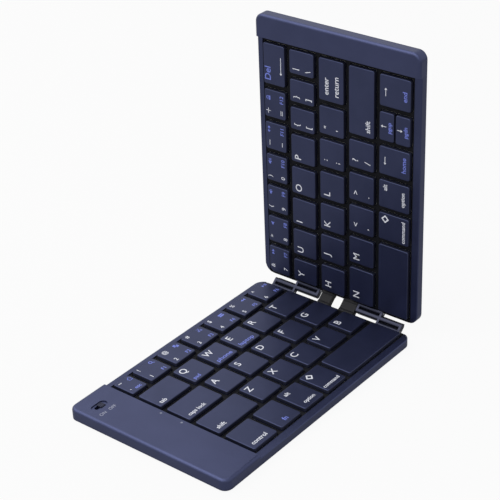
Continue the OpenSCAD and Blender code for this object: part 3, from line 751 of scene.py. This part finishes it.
# Each node: the half that its keys are on, and the keys
KEYS = {
    "key_esc": ("left", [key(0, 6, tilde_and_esc)]),
    "keys_1_to_6": ("left", [
        key(0, 5, number("!", "1", "search", "F1", 0.9, -0.1), (0.2, 0)),
        key(0, 4, number("@", "2", "copy", "F2", 1.0, -0.3), (0.2, 0)),
        key(0, 3, number("#", "3", "cut", "F3", 0.9, -0.4), (0.2, 0.1)),
        key(0, 2, number("$", "4", "keys", "F4", 0.6, -0.7), (-0.1, 0.1)),
        key(0, 1, number("%", "5", "back", "F5", 0.6, -0.6)),
        key(0, 0, number("^", "6", "play", "F6", 0.8), (-0.3, -0.3))]),
    "key_tab": ("left", [key(1, 5, word("tab"), (0.8, 0))]),
    "keys_q_to_t": ("left", [
        key(1, 4, several(letter("Q"), word("pad", 3.2, 2.5, 1.8, blue_ink, 1.05)), (-0.5, 0)),
        key(1, 3, several(letter("W"), word("phone", 3.6, 2.2, 1.9, blue_ink, 1.25)), (-0.2, 0)),
        key(1, 2, several(letter("E"), word("laptop", 3.6, 2.0, 2.0, blue_ink, 1.2)), (-0.2, 0.1)),
        *letters("left", 1, "RT", [(-0.15, 0.2), (0, 0)])]),
    "key_caps_lock": ("left", [key(2, 5, word("caps lock", 3.2), (1.2, 0.4))]),
    "keys_a_to_g": ("left", letters(
        "left", 2, "ASDFG", [(0, 0), (0.5, 0.1), (-0.4, 0.2), (-0.2, 0.3), (0.4, 0.3)])),
    "key_left_shift": ("left", [key(3, 5, word("shift"), (1.1, 0.8))]),
    "keys_z_to_b": ("left", letters(
        "left", 3, "ZXCVB", [(-0.3, 0.1), (0, 0.1), (-0.5, 0.3), (0, -0.35), (0.2, 0)])),
    "key_control": ("left", [key(4, 4, word("control", 3.6, y=2.3), (1.0, 0.3))]),
    "key_fn": ("left", [key(4, 3, word("fn", 4.0, 6.2, 2.3, blue_ink), (-0.5, 0))]),
    "key_left_option": ("left", [
        key(4, 2, several(word("alt", 3.5, 2.0, 13.0), word("option", 3.1, 3.4, 2.3)), (0.7, 0.65))]),
    "key_left_command": ("left", [
        key(4, 1, several(drawn(diamond(), 4.0, 14.2), word("command", 3.1, 1.2, 2.3)), (0.1, 0.3))]),
    "key_left_space": ("left", [key(4, 0)]),
    "keys_7_to_equals": ("right", [
        key(0, 0, number("&", "7", "next", "F7", 0.9), (1.0, 0)),
        key(0, 1, number("*", "8", "mute", "F8", 0.7), (0.4, -0.3)),
        key(0, 2, number("(", "9", "quiet", "F9", 0.9), (0.3, 0.3)),
        key(0, 3, number(")", "0", "loud", "F10", 0.5), (0.1, 0.2)),
        key(0, 4, number("_", "-", "link", "F11", 0.4), (0.2, 0.2)),
        key(0, 5, number("+", "=", "lock", "F12"))]),
    "key_delete": ("right", [
        key(0, 6, several(word("Del", 5.4, 2.6, 8.9, blue_ink), drawn(arrow(9.6, 180), 11.6, 2.3)),
            (-0.4, 0.6))]),
    "keys_y_to_p": ("right", letters(
        "right", 1, "YUIOP", [(1.4, -0.5), (-0.2, -0.3), (-0.4, 0), (-0.4, 0), (-0.3, 0.1)])),
    "keys_square_brackets": ("right", [
        key(1, 5, pair("{", "["), (-0.3, 0.1)), key(1, 6, pair("}", "]"), (-0.2, 0.2))]),
    "key_backslash": ("right", [key(1, 7, pair("|", "\\", -0.1, 4.6, -0.5), (-0.2, 0.4))]),
    "keys_h_to_quote": ("right", [
        *letters("right", 2, "HJKL", [(1.0, -0.1), (1.9, 0.5), (0.4, 0.1), (0.1, 0)]),
        key(2, 4, pair(":", ";", 1.2), (0, 0.7)), key(2, 5, pair("\"", "'", size=4.6), (0.7, -0.6))]),
    "key_enter": ("right", [
        key(2, 6, several(word("enter", 4.2, 4.0, 9.2), word("return", 4.3, 3.8, 3.0)), (-0.4, 0.5))]),
    "keys_n_to_slash": ("right", [
        *letters("right", 3, "NM", [(0.8, 0), (0.2, -0.1)]),
        key(3, 2, pair("<", ",", 0.9, lower_dy=1.0)), key(3, 3, pair(">", ".", 0.9, lower_dy=0.6)),
        key(3, 4, pair("?", "/", 1.1, 4.9), (0.1, 0.1))]),
    "key_right_shift": ("right", [key(3, 5, word("shift", 3.9, 2.3, 3.2), (0.5, -0.3))]),
    "key_right_space": ("right", [key(4, 0)]),
    "key_right_command": ("right", [
        key(4, 1, several(drawn(diamond(), 12.2, 14.2), word("command", 3.1, 1.4, 2.3)), (0, 0.4))]),
    "key_right_option": ("right", [
        key(4, 2, several(word("alt", 3.5, 10.0, 13.0), word("option", 3.1, 3.4, 2.6)), (-0.1, 0.6))]),
    "key_arrow_left": ("right", [
        key(4, 3, several(drawn(arrow(4.4, 180), 7.2, 14.6), word("home", 3.7, 3.2, 2.3, blue_ink)),
            (0.7, 0.4))]),
    "key_arrow_up": ("right", [
        key(4, 4, several(drawn(arrow(3.2, 90), 8.0, 6.0), word("pgup", 3.1, 4.8, 1.6, blue_ink)),
            (-0.15, 0.6), BACK_HALF)]),
    "key_arrow_down": ("right", [
        key(4, 4, several(drawn(arrow(3.2, -90), 8.0, 6.0), word("pgdn", 3.1, 4.8, 1.6, blue_ink)),
            (-0.15, 0.6), FRONT_HALF)]),
    "key_arrow_right": ("right", [
        key(4, 5, several(drawn(arrow(4.4, 0), 7.9, 14.6), word("end", 3.7, 5.0, 2.3, blue_ink)),
            (0, 0.3))]),
}

PRINT_MARGIN = 0.25
PRINT_DROP = {"left": 0.0, "right": 0.4}


def print_field(cell, side, shift):
    """The left, front and back border of the field around which a key's legend is placed."""
    x0, x1, y0, y1 = cell
    left = x0 - PRINT_MARGIN + shift[0]
    front = y0 - PRINT_MARGIN + shift[1] - PRINT_DROP[side]
    return left, front, front + y1 - y0 + 2 * PRINT_MARGIN


for node, (side, keys) in KEYS.items():
    caps, marks = [], []
    for row, place, part, legend, shift in keys:
        caps.append(keycap_for(side, row, place, part))
        if legend:
            marks += legend(*print_field(key_cell(side, row, place, part), side, shift))
    cap = join(f"{node}_tops", caps)
    settle(cap, flat_to_model(side))
    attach(cap, node)
    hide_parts(node)
    if marks:
        print_piece = join(f"{node}_print", marks)
        settle(print_piece, flat_to_model(side))
        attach(print_piece, node)
for pattern, _, _ in cap_patterns.values():
    bpy.data.objects.remove(pattern, do_unlink=True)


# ---- End caps --------------------------------------------------------------------------
CAP_CORNER = 4.5
CAP_RIM = 1.5
STEP_EDGE = 0.25
SWITCH = (-(END_X - 9.9), BACK_Y - 11.4)
RECESS_SIZE, RECESS_DEPTH = (9.6, 4.8), 0.55
SLOT_SIZE, SLOT_DEPTH = (5.9, 2.4), 2
SOCKET_WIDTH, SOCKET_DEPTH = 7.6, 2.2
SOCKET_Z = (2.9, 5.7)
SOCKET_CLEAR = 0.1
SOCKET_X = CAP_X["left"] + (LEFT_CAP_WIDTH - SOCKET_WIDTH) / 2
LENS_X = CAP_X["left"] + 1.9
LENS_YS = (BACK_Y - 39.8, BACK_Y - 52.9)
LENS_SEAT_R, LENS_CUT = 0.6, 3
PAST = 1  # how far a cutter stands out of what it cuts
END_SPARE = 0.02  # what the bevels of a round end leave flat


def stadium_cutter(name, middle, size, depth):
    """A cutter with round ends, down to a depth under the top of the end cap."""
    (x, y), (width, height) = middle, size
    block = add_block(name, (x - width / 2, y - height / 2, CAP_Z - depth),
                      (x + width / 2, y + height / 2, CAP_Z + PAST))
    bevel_edges(block, lambda a, b: upright(a, b, 0.1), height / 2 - END_SPARE, 10)
    return block


def lens_cutter(y):
    deselect()
    bpy.ops.mesh.primitive_cylinder_add(vertices=24, radius=LENS_SEAT_R * MM, depth=LENS_CUT * MM,
                                        location=(-LENS_X * MM, y * MM, CAP_Z * MM))
    return bpy.context.object


def end_cap(name, side):
    """The raised cap over the outer end of a half, with soft edges."""
    outward = -1 if side == "left" else 1
    step, outer = outward * CAP_X[side], outward * END_X
    cap = add_block(name, (min(step, outer), -BACK_Y, PARTING_Z), (max(step, outer), BACK_Y, CAP_Z))

    def on_top(a, b):
        return near(a.z, CAP_Z) and near(b.z, CAP_Z)

    def at_step(a, b):
        return near(a.x, step) and abs(a.x - b.x) < 0.01 * MM

    bevel_edges(cap, lambda a, b: upright(a, b) and near(a.x, outer), CAP_CORNER, 10)
    bevel_edges(cap, lambda a, b: on_top(a, b) and not at_step(a, b), CAP_RIM, 6)
    bevel_edges(cap, lambda a, b: on_top(a, b) and at_step(a, b), STEP_EDGE, 2)
    keep_level(cap, lambda c, n: n.z > FLAT or abs(n.y) > FLAT or (abs(n.x) > FLAT and near(c.x, outer)))
    return cap


left_cap = end_cap("left_end_shell", "left")
cut(left_cap,
    stadium_cutter("recess", SWITCH, RECESS_SIZE, RECESS_DEPTH),
    stadium_cutter("slot", SWITCH, SLOT_SIZE, SLOT_DEPTH),
    add_block("mouth", (-(SOCKET_X + SOCKET_WIDTH + SOCKET_CLEAR), BACK_Y - SOCKET_DEPTH, SOCKET_Z[0]),
              (-(SOCKET_X - SOCKET_CLEAR), BACK_Y + PAST, SOCKET_Z[1])))
for y in LENS_YS:
    cut(left_cap, lens_cutter(y))
right_cap = end_cap("right_end_shell", "right")
for cap, side in ((left_cap, "left"), (right_cap, "right")):
    give(cap.data, shell_plastic)
    smooth(cap, 32)
    settle(cap, flat_to_model(side))
    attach(cap, f"{side}_half")
    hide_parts(f"{side}_end_cap")

SWITCH_WORDS = {"ON": 6.3, "OFF": 12.8}
SWITCH_WORD_SIZE = 2.7
SWITCH_WORD_Y = BACK_Y - 18.3
switch_words = join("switch_words", [
    lettering(text, -(END_X - from_end), SWITCH_WORD_Y, SWITCH_WORD_SIZE, faint_ink, 0.0,
              align="CENTER", z=CAP_PRINT_Z)
    for text, from_end in SWITCH_WORDS.items()])
settle(switch_words, flat_to_model("left"))
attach(switch_words, "left_half")


# ---- Hinges: thin strips under the bar of each link, up to where the barrels turn, put in to close the slit as shade ---
HINGE_SIDES = {"rear_link": 1, "front_link": -1}
HINGE_MIDDLE = 27.5
WEB_Z = (-1.75, -1.4)
WEB_REACH = 1.15
BAR_EDGE = 1.9
WEB_INSET = 0.5
WEB_EDGE = 0.12


def link_to_model():
    """The move from a link that lies flat, with the left axis at its origin, to its place in the model."""
    return Matrix.Translation((PIVOT_X * MM, 0, AXIS_Z * MM)) @ Matrix.Rotation(-LINK_ANGLE, 4, "Y")


def span_of(node):
    """The least and the greatest y of a CAD node, in millimetres."""
    ys = [v.co.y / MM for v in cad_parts[node].data.vertices]
    return min(ys), max(ys)


# A web that is also a sheet put in for shade: it closes the slit between bar and barrels so that it shows
# dark
def shade_web_strip(name, x0, y0, y1):
    strip = add_block(name, (x0, min(y0, y1), WEB_Z[0]), (AXIS_GAP - WEB_REACH, max(y0, y1), WEB_Z[1]))
    bevel_edges(strip, lambda a, b: abs(a.y - b.y) > 1 * MM, WEB_EDGE, 2)
    return strip


for node, back in HINGE_SIDES.items():
    inner, outer = sorted(span_of(node), key=abs)
    middle = back * HINGE_MIDDLE
    shade_web = join(f"{node}_web", [shade_web_strip("outer_shade_web", WEB_REACH, middle, outer - back * WEB_INSET),
                               shade_web_strip("inner_shade_web", BAR_EDGE, inner + back * WEB_INSET, middle)])
    smooth(shade_web)
    give(shade_web.data, hinge_metal)
    settle(shade_web, link_to_model())
    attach(shade_web, "hinge_link")


# ---- Floor and world: white to the camera, and plain light for the object ----------------
WHITE = (1, 1, 1, 1)
PAPER_GREY = (0.5, 0.5, 0.505, 1)
FLOOR_SIZE = 6
FLOOR_DROP = 0.0001
FLOOR_IN_METAL, FLOOR_IN_PICTURE = 0.25, 0.93
WORLD_LIGHT, WORLD_IN_PICTURE = 0.5, 1.0


def floor_paper():
    """Matt grey as a source of light, and a white glow to the camera, fainter by way of metal and glass."""
    paper = bpy.data.materials.new("paper")
    paper.use_nodes = True
    nodes = Nodes(paper.node_tree)
    nodes.tree.nodes.remove(nodes.tree.nodes["Principled BSDF"])
    camera, seen = nodes.rays()
    matt = nodes.node("ShaderNodeBsdfDiffuse", {}, {"Color": PAPER_GREY})
    glow = nodes.node("ShaderNodeEmission", {}, {"Color": WHITE})
    share = seen * camera.between(FLOOR_IN_METAL, FLOOR_IN_PICTURE)
    nodes.feed("Material Output", Surface=nodes.node("ShaderNodeMixShader", {}, [share, matt, glow]))
    return paper


deselect()
bpy.ops.mesh.primitive_plane_add(size=FLOOR_SIZE, location=(0, 0, -FLOOR_DROP))
floor = bpy.context.object
floor.name = "floor"
give(floor.data, floor_paper())

world = bpy.data.worlds.new("studio")
bpy.context.scene.world = world
world.use_nodes = True
sky = Nodes(world.node_tree)
sky.tree.nodes["Background"].inputs["Color"].default_value = WHITE
_, seen = sky.rays()
sky.feed("Background", Strength=seen.between(WORLD_LIGHT, WORLD_IN_PICTURE))


# ---- Lamps and camera, in metres ---------------------------------------------------------
LIT_POINT = Vector((0, 0, 0.05))


def softbox(name, place, size, power):
    """A square lamp that faces the object."""
    deselect()
    aim = (LIT_POINT - Vector(place)).to_track_quat("-Z", "Y").to_euler()
    bpy.ops.object.light_add(type="AREA", location=place, rotation=aim)
    lamp = bpy.context.object
    lamp.name = name
    lamp.data.shape = "SQUARE"
    lamp.data.size = size
    lamp.data.energy = power


softbox("left_box", (-0.8, 0.1, 1.0), 1.3, 8)
softbox("back_box", (-0.1, 0.8, 1.1), 1.4, 9)

# The camera that took the photograph, with its lens measured in the picture's pixels
PICTURE_SIZE = 500
LENS_LENGTH = 1534.962
LENS_CENTRE = (254.431, 248.486)
SENSOR_WIDTH = 36
CAMERA_PLACE = (-0.49102, -0.40918, 0.43952)
AZIMUTH, ELEVATION, ROLL = (math.radians(v) for v in (-50.541, 29.764, -2.226))

ahead = Vector((-math.sin(AZIMUTH) * math.cos(ELEVATION),
                math.cos(AZIMUTH) * math.cos(ELEVATION), -math.sin(ELEVATION)))
across = Vector((math.cos(AZIMUTH), math.sin(AZIMUTH), 0))
upward = across.cross(ahead)
right = across * math.cos(ROLL) + upward * math.sin(ROLL)
top = upward * math.cos(ROLL) - across * math.sin(ROLL)
bpy.ops.object.camera_add(location=CAMERA_PLACE)
camera = bpy.context.object
camera.matrix_world = Matrix.Translation(CAMERA_PLACE) @ Matrix((right, top, -ahead)).transposed().to_4x4()
camera.data.sensor_width = SENSOR_WIDTH
camera.data.lens = LENS_LENGTH / PICTURE_SIZE * SENSOR_WIDTH
camera.data.shift_x = (PICTURE_SIZE / 2 - LENS_CENTRE[0]) / PICTURE_SIZE
camera.data.shift_y = (LENS_CENTRE[1] - PICTURE_SIZE / 2) / PICTURE_SIZE
camera.data.clip_start = 0.05
bpy.context.scene.camera = camera
bpy.context.scene.view_settings.view_transform = "Standard"
